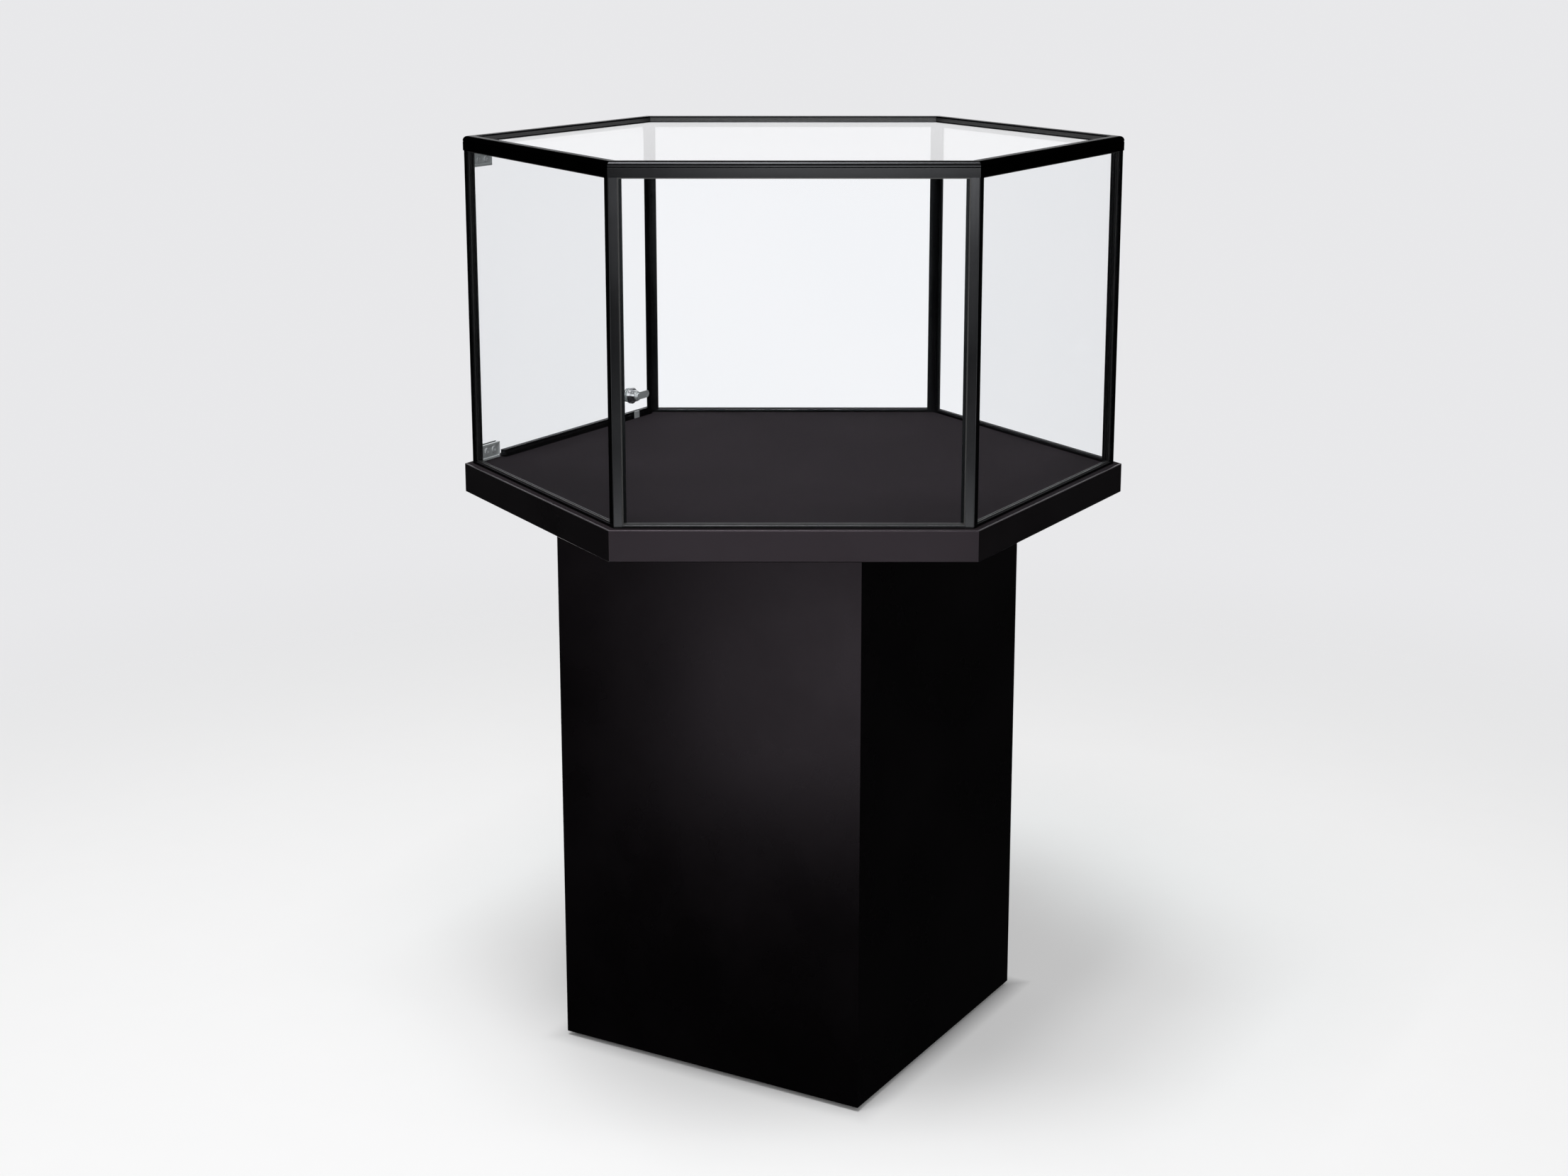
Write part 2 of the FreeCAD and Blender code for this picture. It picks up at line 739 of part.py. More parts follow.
def build_top_frame():
    """Six mitred top rails, the keys inside their corners and the screws into the posts."""
    for side, turn in SIDE_TURNS.items():
        low = (PORT_X, 0, -dim.overrun)
        length = dim.chamber_floor + dim.overrun * 2
        holes = [cylinder(low, PORT_HOLE, length, "z", corner) for corner in (-60, -120)]
        if side == "door":
            holes.append(cylinder(pivot_point(-dim.overrun), BUSH_HOLE, BUSH_HOLE_DEPTH + dim.overrun))
        rail = cut(top_rail(side != "door"), group(holes))
        place(rail, (0, 0, RAIL_BASE), turn)
        node(f"top_rail_{side}", rail)
    node("top_corner_keys", all_round(CORNER_TURNS, corner_keys))
    node("top_corner_screws", all_round(CORNER_TURNS, key_screws))


# Bottom rails, fixed panes and their gaskets
def build_bottom_rails():
    """Channels on the deck under the fixed panes, with ends that fit round the posts' lips and legs."""
    half = [
        (dim.post_lip + dim.seat_clearance, dim.bottom_rail_inset),
        (dim.post_lip + dim.seat_clearance, dim.lip_thickness),
        (dim.post_web + dim.seat_clearance, dim.lip_thickness),
        (dim.post_web + dim.seat_clearance, SLOT_BACK),
        (dim.post_leg + dim.seat_clearance, SLOT_BACK),
        (dim.post_leg + dim.seat_clearance, POST_DEPTH),
    ]
    outline = [(side_x(along, 1), side_y(depth)) for along, depth in half]
    outline += [(side_x(along, -1), side_y(depth)) for along, depth in reversed(half)]
    slot_low = (-HALF_SIDE, side_y(dim.lip_thickness), dim.bottom_rail_floor)
    slot_high = (HALF_SIDE, side_y(SLOT_BACK), dim.bottom_rail_height + dim.overrun)
    for side in FIXED_SIDES:
        bar = extruded("XY_Plane", [outline], dim.bottom_rail_height)
        rail = cut(bar, box(slot_low, slot_high))
        place(rail, (0, 0, DECK_TOP), SIDE_TURNS[side])
        node(f"bottom_rail_{side}", rail)


def side_box(along, front, back, low, high, side):
    """A block on one side of the frame, as far from both its corners."""
    reach = HALF_SIDE - along
    return box((-reach, side_y(front), low), (reach, side_y(back), high), SIDE_TURNS[side])


def build_glazing():
    """The fixed panes with a channel gasket round each, and the top pane in its own gasket."""
    gaskets = []
    pane_front = dim.lip_thickness + (dim.slot_width - dim.pane_thickness) / 2
    pane_back = pane_front + dim.pane_thickness
    edge = dim.post_web + dim.seat_clearance
    low = DECK_TOP + dim.bottom_rail_floor
    high = RAIL_BASE + dim.rail_pocket
    open_low = DECK_TOP + dim.bottom_rail_height + dim.gasket_lip
    open_high = RAIL_BASE - dim.gasket_lip
    for side in FIXED_SIDES:
        pane = side_box(edge + dim.gasket_edge, pane_front, pane_back,
                        low + dim.gasket_edge, high - dim.gasket_edge, side)
        node(f"pane_{side}", pane)
        ring = side_box(edge, dim.lip_thickness, SLOT_BACK, low, high, side)
        opening = side_box(dim.post_lip + dim.gasket_lip, 0, POST_DEPTH, open_low, open_high, side)
        gaskets.append(cut(ring, opening, pane))
    node("pane_gaskets", group(gaskets))

    bed = RAIL_BASE + LEDGE_RISE
    glass_base = bed + dim.top_gasket_bed
    gasket_apothem = FRAME_APOTHEM - RAIL_BACK - dim.seat_clearance
    glass_apothem = gasket_apothem - dim.top_gasket_side
    glass_depth = dim.top_pane_thickness + dim.top_gasket_rise
    gasket = hexagon_prism(gasket_apothem, bed, dim.top_gasket_bed + glass_depth)
    opening_depth = dim.top_gasket_bed + dim.overrun * 2
    opening = hexagon_prism(FRAME_APOTHEM - LEDGE_BACK, bed - dim.overrun, opening_depth)
    seat = hexagon_prism(glass_apothem, glass_base, glass_depth + dim.overrun)
    node("top_pane", hexagon_prism(glass_apothem, glass_base, dim.top_pane_thickness))
    node("top_gasket", cut(gasket, opening, seat))


# Door and hinges
CLAMP_GAP = dim.door_lift - dim.clamp_base
CLAMP_END = CLAMP_GAP + dim.clamp_height
CLAMP_HIGH_X = side_x(DOOR_EDGE, 1)
CLAMP_LOW_X = CLAMP_HIGH_X - dim.clamp_length
PAD_FRONT = dim.door_setback - dim.pad_thickness
PAD_BACK = DOOR_BACK + dim.pad_thickness
CLAMP_FRONT = PAD_FRONT - dim.clamp_plate
CLAMP_BACK = PAD_BACK + dim.clamp_plate
DOOR_ENDS = ("bottom", "top")


def levels(end, near, far):
    """Two heights, lower first: up from the deck at the door's bottom, down from the rail at its top."""
    if end == "bottom":
        return DECK_TOP + near, DECK_TOP + far
    return RAIL_BASE - far, RAIL_BASE - near


def pivot_bar(end, near, far, radius):
    """A round bar on the door's pivot axis."""
    low, high = levels(end, as_size(near), as_size(far))
    return cylinder(pivot_point(low), radius, high - low, "z", DOOR_TURN)


def set_screw_places(end):
    """Where the two set screws of a clamp press on its inner pad."""
    middle = CLAMP_LOW_X + dim.clamp_length / 2
    reach = (CLAMP_END + dim.door_lift) / 2
    height, _ = levels(end, reach, reach)
    return [(middle + dim.set_screw_spacing / 2 * hand, side_y(PAD_BACK), height) for hand in (1, -1)]


def hinge_clamp(end):
    """A channel over the door's edge, with a pin hole in its base and a sunk inner face for two screws."""
    low_y = side_y(CLAMP_FRONT)
    high_y = side_y(CLAMP_BACK)
    bevel = dim.clamp_chamfer
    outline = [
        (CLAMP_LOW_X + bevel, low_y),
        (CLAMP_HIGH_X - bevel, low_y),
        (CLAMP_HIGH_X, low_y + bevel),
        (CLAMP_HIGH_X, high_y - bevel),
        (CLAMP_HIGH_X - bevel, high_y),
        (CLAMP_LOW_X + bevel, high_y),
        (CLAMP_LOW_X, high_y - bevel),
        (CLAMP_LOW_X, low_y + bevel),
    ]
    low, _ = levels(end, CLAMP_GAP, CLAMP_END)
    block = extruded("XY_Plane", [outline], dim.clamp_height)
    place(block, (0, 0, low), DOOR_TURN)
    slot_low, slot_high = levels(end, dim.door_lift, CLAMP_END + dim.overrun)
    slot = box((CLAMP_LOW_X - dim.overrun, side_y(PAD_FRONT), slot_low),
               (CLAMP_HIGH_X + dim.overrun, side_y(PAD_BACK), slot_high), DOOR_TURN)
    pin_hole = pivot_bar(end, CLAMP_GAP - dim.overrun, dim.door_lift + dim.overrun,
                         dim.pin_radius + dim.seat_clearance)
    recess_low, recess_high = levels(end, CLAMP_GAP + dim.clamp_border, CLAMP_END - dim.clamp_border)
    recess = box((CLAMP_LOW_X + dim.clamp_border, side_y(CLAMP_BACK - dim.clamp_recess), recess_low),
                 (CLAMP_HIGH_X - dim.clamp_border, side_y(CLAMP_BACK + dim.overrun), recess_high), DOOR_TURN)
    hole_radius = dim.set_screw_radius + dim.screw_clearance
    hole_length = dim.clamp_plate + dim.overrun
    holes = [cylinder(spot, hole_radius, hole_length, "y", DOOR_TURN) for spot in set_screw_places(end)]
    return cut(block, slot, pin_hole, recess, *holes)


def clamp_pads(end):
    """The soft pads between the glass and the clamp's two plates."""
    low, high = levels(end, dim.door_lift, CLAMP_END)
    start = CLAMP_LOW_X + dim.clamp_chamfer
    stop = CLAMP_HIGH_X - dim.clamp_chamfer
    faces = [(PAD_FRONT, dim.door_setback), (DOOR_BACK, PAD_BACK)]
    return [box((start, side_y(front), low), (stop, side_y(back), high), DOOR_TURN) for front, back in faces]


def set_screws(end):
    """Socket set screws that stand a little proud of the clamp's inner plate."""
    length = dim.clamp_plate + dim.set_screw_proud
    screws = []
    for x, y, z in set_screw_places(end):
        bar = cylinder((x, y, z), dim.set_screw_radius, length, "y", DOOR_TURN)
        socket_start = (x, y + length - dim.socket_depth, z)
        socket = prism(socket_start, dim.socket_radius, dim.socket_depth + dim.overrun, "y", DOOR_TURN)
        screws.append(cut(bar, socket))
    return screws


def prism(start, radius, length, along, turn):
    """A six-sided bar from a point along an axis."""
    item = doc.addObject("Part::Prism", "six_sided_bar")
    item.Polygon = 6
    bind(item, "Circumradius", radius)
    bind(item, "Height", length)
    place(item, start, turn, along)
    return item


def pivot_bush(end):
    """A flanged sleeve in the deck or the rail, in which the door's pin turns."""
    flange = pivot_bar(end, 0, dim.bush_flange_height, dim.bush_flange_radius)
    sleeve = pivot_bar(end, -dim.bush_length, dim.bush_flange_height, BUSH_RADIUS)
    bore = pivot_bar(end, -BUSH_HOLE_DEPTH, dim.bush_flange_height + dim.overrun,
                     dim.pin_radius + dim.running_clearance)
    return cut(fused(flange, sleeve), bore)


def build_door():
    """The frameless glass door, its pivot clamps at the hinge post, and their bushes."""
    low = DECK_TOP + dim.door_lift
    high = RAIL_BASE - dim.door_lift
    glass = side_box(DOOR_EDGE, dim.door_setback, DOOR_BACK, low, high, "door")
    lock_hole = lock_bar(dim.barrel_radius + dim.glass_hole_gap, 0, DOOR_BACK + dim.overrun)
    node("door_pane", cut(glass, lock_hole))
    for end in DOOR_ENDS:
        node(f"hinge_clamp_{end}", hinge_clamp(end))
        node(f"pivot_bush_{end}", pivot_bush(end))
        pin = pivot_bar(end, -dim.pin_reach, dim.door_lift - dim.pin_recess, dim.pin_radius)
        node(f"pivot_pin_{end}", pin)
    node("clamp_pads", group(pad for end in DOOR_ENDS for pad in clamp_pads(end)))
    node("clamp_set_screws", group(screw for end in DOOR_ENDS for screw in set_screws(end)))


# Lock and sill
LOCK_X = side_x(dim.lock_inset, -1)
LOCK_Z = DECK_TOP + dim.lock_height
HEAD_BACK = dim.door_setback - dim.outer_washer
HEAD_FRONT = HEAD_BACK - dim.barrel_head_height
NUT_FRONT = DOOR_BACK + dim.inner_washer
BARREL_END = DOOR_BACK + dim.barrel_reach
CAM_FRONT = BARREL_END + dim.cam_gap
CAM_BACK = CAM_FRONT + dim.cam_thickness
BARREL_HOLE = dim.barrel_radius + dim.seat_clearance


def lock_point(depth):
    """A point on the lock's axis, on the side that faces -Y before it is turned."""
    return LOCK_X, side_y(depth), LOCK_Z


def lock_bar(radius, front, back):
    """A round bar on the lock's axis between two depths."""
    return cylinder(lock_point(front), radius, as_size(back) - front, "y", DOOR_TURN)


def keeper_screws(grow=0):
    """The two screws that hold the keeper on the sill."""
    length = dim.keeper_screw_length
    sizes = (dim.keeper_screw_radius, dim.keeper_screw_head_radius, dim.keeper_screw_head_height)
    height = DECK_TOP + dim.sill_step_height / 2
    depth = side_y(SILL_BACK + dim.keeper_thickness)
    spots = [(LOCK_X + dim.keeper_screw_spacing / 2 * hand, depth, height) for hand in (1, -1)]
    return group(flat_screw(spot, "-y", length, *sizes, grow, DOOR_TURN) for spot in spots)


def lock_nut():
    """The round nut that holds the barrel in the glass, with its inner rim taken off."""
    straight = dim.nut_height - dim.nut_chamfer
    ring = lock_bar(dim.nut_radius, NUT_FRONT, NUT_FRONT + straight)
    rim = doc.addObject("Part::Cone", "nut_rim")
    bind(rim, "Radius1", dim.nut_radius)
    bind(rim, "Radius2", dim.nut_radius - dim.nut_chamfer)
    bind(rim, "Height", dim.nut_chamfer)
    place(rim, lock_point(NUT_FRONT + straight), DOOR_TURN, "y")
    return fused(ring, rim)


def lock_plug():
    """The turning plug: a keyway in its face, a tail for the cam and a hole for the cam's screw."""
    body = lock_bar(dim.plug_radius, HEAD_FRONT + dim.plug_recess, CAM_FRONT)
    tail = lock_bar(dim.plug_tail_radius, BARREL_END, CAM_BACK)
    half_width = dim.key_slot_width / 2
    half_height = dim.key_slot_height / 2
    keyway = box((LOCK_X - half_width, side_y(HEAD_FRONT), LOCK_Z - half_height),
                 (LOCK_X + half_width, side_y(HEAD_FRONT + dim.key_slot_depth), LOCK_Z + half_height),
                 DOOR_TURN)
    hole = lock_bar(dim.cam_screw_radius + dim.screw_clearance,
                    CAM_BACK - dim.cam_screw_length - dim.screw_clearance, CAM_BACK + dim.overrun)
    return cut(fused(body, tail), keyway, hole)


def lock_cam():
    """The flat cam, turned clear of the sill towards the lock post."""
    half_width = dim.cam_width / 2
    tip_x = LOCK_X - dim.cam_length + half_width
    boss = lock_bar(dim.cam_boss_radius, CAM_FRONT, CAM_BACK)
    arm = box((tip_x, side_y(CAM_FRONT), LOCK_Z - half_width),
              (LOCK_X, side_y(CAM_BACK), LOCK_Z + half_width), DOOR_TURN)
    tip = cylinder((tip_x, side_y(CAM_FRONT), LOCK_Z), half_width, dim.cam_thickness, "y", DOOR_TURN)
    hole = lock_bar(dim.plug_tail_radius + dim.seat_clearance, BARREL_END, CAM_BACK + dim.overrun)
    return cut(fused(boss, arm, tip), hole)


def build_lock():
    """The cam lock through the door's glass, and the sill with its keeper that the cam turns behind."""
    head = lock_bar(dim.barrel_head_radius, HEAD_FRONT, HEAD_BACK)
    sleeve = lock_bar(dim.barrel_radius, HEAD_FRONT, BARREL_END)
    bore_radius = dim.plug_radius + dim.running_clearance
    bore = lock_bar(bore_radius, HEAD_FRONT - dim.overrun, BARREL_END + dim.overrun)
    node("lock_barrel", cut(fused(head, sleeve), bore))
    hole = lock_bar(BARREL_HOLE, HEAD_FRONT, BARREL_END)
    washers = [
        cut(lock_bar(dim.barrel_head_radius, HEAD_BACK, dim.door_setback), hole),
        cut(lock_bar(dim.nut_radius, DOOR_BACK, NUT_FRONT), hole),
    ]
    node("lock_washers", group(washers))
    node("lock_nut", cut(lock_nut(), hole))
    node("lock_plug", lock_plug())
    node("lock_cam", lock_cam())
    screw_top = lock_point(CAM_BACK + dim.cam_screw_head_height)
    screw_length = dim.cam_screw_head_height + dim.cam_screw_length
    screw_sizes = (dim.cam_screw_radius, dim.cam_screw_head_radius, dim.cam_screw_head_height)
    node("lock_cam_screw", pan_screw(screw_top, "-y", screw_length, *screw_sizes, 0, DOOR_TURN))

    keeper_holes = keeper_screws(dim.screw_clearance)
    sill_low = (-HALF_SIDE + dim.post_leg + dim.seat_clearance, side_y(SILL_FRONT), DECK_TOP)
    sill_high = (HALF_SIDE - dim.sill_hinge_end, side_y(SILL_BACK), DECK_TOP + dim.sill_height)
    step_low = (-HALF_SIDE, side_y(SILL_BACK - dim.sill_step_depth), DECK_TOP + dim.sill_step_height)
    step_high = (HALF_SIDE, side_y(SILL_BACK + dim.overrun), DECK_TOP + dim.sill_height + dim.overrun)
    step = box(step_low, step_high, DOOR_TURN)
    node("door_sill", cut(box(sill_low, sill_high, DOOR_TURN), step, keeper_holes))
    half_width = dim.keeper_width / 2
    keeper_base = DECK_TOP + dim.keeper_lift
    keeper = box((LOCK_X - half_width, side_y(SILL_BACK), keeper_base),
                 (LOCK_X + half_width, side_y(SILL_BACK + dim.keeper_thickness),
                  keeper_base + dim.keeper_height), DOOR_TURN)
    node("lock_keeper", cut(keeper, keeper_holes))
    node("keeper_screws", keeper_screws())


def write_parts():
    """Check every object, then write each sub-part to a file named by its label."""
    doc.recompute()
    for item in doc.Objects:
        if "Invalid" in item.State or "Error" in item.State:
            raise RuntimeError(f"{item.Name} failed: {item.State}")
    for item in nodes:
        if item.Shape.isNull() or not item.Shape.isValid():
            raise RuntimeError(f"{item.Label} has no valid shape")
    os.makedirs("parts", exist_ok=True)
    for item in nodes:
        item.Shape.exportStep(os.path.join("parts", f"{item.Label}.step"))
    print(f"{len(nodes)} sub-parts written")


build_pedestal()
build_deck()
build_posts()
build_top_frame()
build_bottom_rails()
build_glazing()
build_door()
build_lock()
write_parts()
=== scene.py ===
import json
from math import pi, radians

import bmesh
import bpy
from mathutils import Matrix, Vector

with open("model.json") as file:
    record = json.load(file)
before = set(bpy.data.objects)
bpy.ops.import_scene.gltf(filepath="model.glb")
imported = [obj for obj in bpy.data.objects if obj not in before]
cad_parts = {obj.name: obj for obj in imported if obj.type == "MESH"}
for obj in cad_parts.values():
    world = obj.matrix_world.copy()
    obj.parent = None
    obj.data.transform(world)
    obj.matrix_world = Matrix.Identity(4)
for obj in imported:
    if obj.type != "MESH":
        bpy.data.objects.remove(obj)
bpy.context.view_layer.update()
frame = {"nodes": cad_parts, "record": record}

MM = 0.001
WHITE = (1.0, 1.0, 1.0)

# Viewpoint: the photograph's frame in pixels, with the lens and the place that fit the case's corners in it.
PHOTO_WIDTH = 2212
FOCAL_PIXELS = 3420.2
RISE_PIXELS = -120
SENSOR_MM = 36.0
CAMERA_PLACE = (-2.8173, -1.6199, 1.5066)
CAMERA_HEADING = 30.12
CAMERA_PITCH = 13.089

# Backdrop: what the camera sees, what shows through glass and in gloss, and gloss from below and overhead.
PALE = (0.81, 0.81, 0.825)
BRIGHT = (0.95, 0.95, 0.965)
DIM = (0.012, 0.012, 0.0125)
CEILING = (0.22, 0.22, 0.225)
FILL_LEVEL = 0.25

# Rise of a direction over which gloss goes from dim to bright, and from bright to the ceiling.
HORIZON_BAND = (0.02, 0.07)
CEILING_BAND = (0.40, 0.70)

# The side where bright gloss reaches further down, how closely a direction points there, and how far down.
LIT_SIDE = (0.866, 0.5, 0.0)
LIT_BAND = (0.72, 0.95)
LIT_DROP = 0.45

# Floor: pale paper that fades into the backdrop, with a glow of its own that stops short of the square base,
# so that a painted shadow band darkens the floor round the base.
FLOOR_COLOUR = (0.93, 0.93, 0.935)
FLOOR_ROUGHNESS = 0.9
FLOOR_TOOTH = 14.0
FLOOR_TOOTH_GAIN = 1.01
FLOOR_GLOW_SHARE = 0.41
FLOOR_RADIUS = 3.2
FLOOR_STEPS = 96
FLOOR_FADE = (1.2, 2.9)
HALF_BASE = max(vertex.co.x for vertex in frame["nodes"]["pedestal_right_panel"].data.vertices)
# Inner and outer reach of the painted shadow band round the base, from the base's side.
PAINTED_SHADOW_INSIDE = 10.5 * MM
PAINTED_SHADOW_OUTSIDE = 29.5 * MM
PAINTED_SHADOW_BAND = (HALF_BASE - PAINTED_SHADOW_INSIDE, HALF_BASE + PAINTED_SHADOW_OUTSIDE)

# Lamps by name: place, what it is aimed at, width, height, power, and the turns round the case it stands at.
SOFTBOXES = {
    "overhead_softbox": ((-0.80, -0.07, 4.2), (0.0, 0.0, 0.7), 1.4, 1.4, 133.0, (0,)),
    "front_softbox": ((-3.70, -2.30, 1.40), (0.0, 0.0, 0.8), 0.9, 0.9, 25.0, (0,)),
}
CARDS = {
    "base_card": ((-1.36, 0.27, 0.24), (-0.23, -0.15, 0.50), 0.74, 0.46, 2.6, (0, 90, 250)),
    "deck_card": ((-2.24, -1.30, 0.13), (-0.34, -0.20, 0.79), 1.20, 0.22, 3.4, (0, 60, 180)),
    "left_strip": ((-1.79, 0.80, 0.82), (-0.45, 0.02, 0.95), 0.90, 0.65, 2.8, (0,)),
    "right_strip": ((-0.20, -1.80, 0.82), (-0.22, -0.39, 0.95), 0.90, 0.65, 2.8, (0,)),
}

# Lamps that would otherwise show as white patches in the panes.
BESIDE_PANES = ("front_softbox", *CARDS)

# Sides of the hexagon and the way each one faces, in degrees round the case.
SIDE_FACING = {"front": 270, "front_right": 330, "back_right": 30,
               "door": 90, "back_left": 150, "front_left": 210}
QUARTER_TURN = 90
POSTS = ("right_post", "lock_post", "hinge_post", "left_post", "front_left_post", "front_right_post")
POLISHED = ("lock_barrel", "lock_nut", "lock_plug")
SMALL_METAL = ("lock_cam", "lock_keeper", "clamp_set_screws", "lock_washers")

# Traces of colour in a dark grey and in a black.
COOL_SHARES = (1.0, 1.02, 1.08)
PLUM_SHARES = (1.10, 0.90, 1.03)

# Parts of a noise's range over which a tone goes from its dark to its light end.
TONE_WINDOW = (0.3, 0.7)
CLOUD_WINDOW = (0.32, 0.68)
GRAIN_WINDOW = (0.35, 0.65)

# Satin laminate: features to a metre, depth of the pebbled skin, spread of its gloss and tint of its sheen.
LAMINATE_CLOUD = 5.0
LAMINATE_PEBBLE = 1400.0
LAMINATE_PEBBLE_DEPTH = 0.03 * MM
LAMINATE_GLOSS = (-0.04, 0.05)
LAMINATE_SHEEN = (1.0, 0.84, 0.98, 1.0)

# Black anodising: features to a metre, depths of its relief, stretch of a die line, spread of tone and gloss.
DIE_LINES = 2600.0
DIE_LINE_DEPTH = 0.003 * MM
DIE_LINE_STRETCH = 400.0
BLAST_SPARKLE = 5200.0
BLAST_DEPTH = 0.004 * MM
ANODISED_CLOUD = 9.0
ANODISED_TONES = (0.85, 1.15)
ANODISED_ROUGHNESS = (0.18, 0.24)

# Moulded rubber and nylon: depth of the grain and spread of its gloss.
MOULDED_DEPTH = 0.02 * MM
MOULDED_GLOSS = (-0.06, 0.06)

# Bare metal: polishing lines and haze to a metre, depth and length of a line.
POLISH_LINES = 1800.0
POLISH_DEPTH = 0.002 * MM
POLISH_STRETCH = 40.0
POLISH_HAZE = 60.0

# Chipboard: chips and tones to a metre, flatness of a chip, depths of both, and its colours.
CHIPS = 260.0
CHIP_FLATNESS = 0.5
CHIP_DEPTH = 0.15 * MM
CHIP_TONES = 90.0
CHIP_TONE_DEPTH = 0.1 * MM
CHIP_COLOURS = ((0.3, (0.20, 0.12, 0.065)), (0.52, (0.36, 0.24, 0.14)), (0.72, (0.50, 0.37, 0.24)))
CHIP_ROUGHNESS = (0.75, 0.9)
CHIP_SPECULAR = 0.2

# Sheet glass: haze to a metre, its two faint tints, roughness of the haze, and tint of the light through it.
GLASS_HAZE = 3.0
GLASS_TINTS = ((0.976, 0.985, 0.992), (0.986, 0.991, 0.997))
GLASS_ROUGHNESS = (0.0, 0.012)
GLASS_SHADE = (0.90, 0.93, 0.93, 1.0)

# Broken edges: how far vertices are joined first, from which angle an edge is sharp, and the rounds.
WELD_REACH = 0.01 * MM
SHARP_ANGLE = 35
BAR_ROUND = 0.35 * MM
LOW_BAR_ROUND = 0.7 * MM
PANEL_ROUND = 0.5 * MM
CHROME_ROUND = 0.25 * MM
SMALL_ROUND = 0.12 * MM


def mixed(tree, factor, first, second):
    """A shader that goes from the first to the second as the factor goes from 0 to 1."""
    node = tree.nodes.new("ShaderNodeMixShader")
    for source, socket in zip((factor, first, second), node.inputs):
        tree.links.new(source, socket)
    return node.outputs["Shader"]


def worked_out(tree, operation, first, second):
    """The result of an operation on a socket and on either another socket or a number."""
    node = tree.nodes.new("ShaderNodeMath")
    node.operation = operation
    tree.links.new(first, node.inputs[0])
    if isinstance(second, float):
        node.inputs[1].default_value = second
    else:
        tree.links.new(second, node.inputs[1])
    return node.outputs["Value"]


def in_a_mirror(tree, path):
    """1 where a ray has been reflected on its way, else 0."""
    return worked_out(tree, "MINIMUM", path.outputs["Glossy Depth"], 1.0)


class Look:
    """A node material round one Principled shader, with the shader's plain values set on its sockets."""

    def __init__(self, name, values):
        self.material = bpy.data.materials.new(name)
        self.material.use_nodes = True
        self.tree = self.material.node_tree
        self.shader = self.tree.nodes["Principled BSDF"]
        self.coordinates = self.add("ShaderNodeTexCoord").outputs["Object"]
        for socket, value in values.items():
            self.shader.inputs[socket].default_value = value

    def add(self, kind, **values):
        """A node of this kind, with input values by socket name."""
        node = self.tree.nodes.new(kind)
        for name, value in values.items():
            node.inputs[name.replace("_", " ")].default_value = value
        return node

    def join(self, source, target):
        self.tree.links.new(source, target)

    def placed(self, stretch, heading=0.0):
        """The object's own coordinates with features drawn out by stretch along a heading in degrees."""
        mapping = self.add("ShaderNodeMapping", Rotation=(0.0, 0.0, radians(heading)), Scale=stretch)
        mapping.vector_type = "TEXTURE"
        self.join(self.coordinates, mapping.inputs["Vector"])
        return mapping.outputs["Vector"]

    def noise(self, per_metre, detail=3.0, roughness=0.5, vector=None):
        """Smooth noise with this many features to a metre, from 0 to 1."""
        node = self.add("ShaderNodeTexNoise", Scale=per_metre, Detail=detail, Roughness=roughness)
        self.join(vector or self.coordinates, node.inputs["Vector"])
        return node.outputs[0]

    def speckle(self, per_metre, vector):
        """Cell noise with this many cells to a metre: the distance to the nearest cell's middle."""
        node = self.add("ShaderNodeTexVoronoi", Scale=per_metre)
        self.join(vector, node.inputs["Vector"])
        return node.outputs["Distance"]

    def between(self, level, low, high, window=TONE_WINDOW):
        """A level between low and high, as the source goes through its window."""
        node = self.add("ShaderNodeMapRange", From_Min=window[0], From_Max=window[1], To_Min=low, To_Max=high)
        self.join(level, node.inputs["Value"])
        return node.outputs["Result"]

    def colours(self, level, stops):
        """A colour ramp over a level; each stop is a position and a colour."""
        ramp = self.add("ShaderNodeValToRGB")
        elements = ramp.color_ramp.elements
        while len(elements) < len(stops):
            elements.new(1.0)
        for element, (position, colour) in zip(elements, stops):
            element.position = position
            element.color = (*colour, 1.0)
        self.join(level, ramp.inputs["Fac"])
        return ramp.outputs["Color"]

    def tones(self, level, dark, light, window=TONE_WINDOW):
        """A colour ramp from dark to light, as the source goes through its window."""
        return self.colours(level, tuple(zip(window, (dark, light))))

    def paint(self, colour, roughness=None):
        self.join(colour, self.shader.inputs["Base Color"])
        if roughness is not None:
            self.join(roughness, self.shader.inputs["Roughness"])

    def relief(self, *layers):
        """Bump layers on top of each other; each one is a height and its depth in metres."""
        normal = None
        for height, depth in layers:
            bump = self.add("ShaderNodeBump", Strength=1.0, Distance=depth)
            self.join(height, bump.inputs["Height"])
            if normal is not None:
                self.join(normal, bump.inputs["Normal"])
            normal = bump.outputs["Normal"]
        self.join(normal, self.shader.inputs["Normal"])

    def cover(self, *layers):
        """Shaders laid over the Principled one in turn; each layer is a factor and a shader."""
        seen = self.shader.outputs["BSDF"]
        for factor, other in layers:
            seen = mixed(self.tree, factor, seen, other)
        self.join(seen, self.tree.nodes["Material Output"].inputs["Surface"])


def grey(level):
    return (level, level, level)


def cool(level):
    """A grey of this linear level with a trace of blue."""
    return tuple(level * share for share in COOL_SHARES)


def plum(level):
    """A black of this linear level with a trace of red and blue."""
    return tuple(level * share for share in PLUM_SHARES)


def laminate(name, dark, light, rough, specular):
    """Satin black laminate: a fine pebbled skin with slow clouding in its tone and its gloss."""
    look = Look(name, {"Specular IOR Level": specular, "Specular Tint": LAMINATE_SHEEN})
    cloud = look.noise(LAMINATE_CLOUD, detail=4.0, roughness=0.6)
    pebble = look.noise(LAMINATE_PEBBLE, detail=2.0)
    gloss = (rough + step for step in LAMINATE_GLOSS)
    look.paint(look.tones(cloud, dark, light, CLOUD_WINDOW), look.between(cloud, *gloss))
    look.relief((pebble, LAMINATE_PEBBLE_DEPTH))
    return look.material


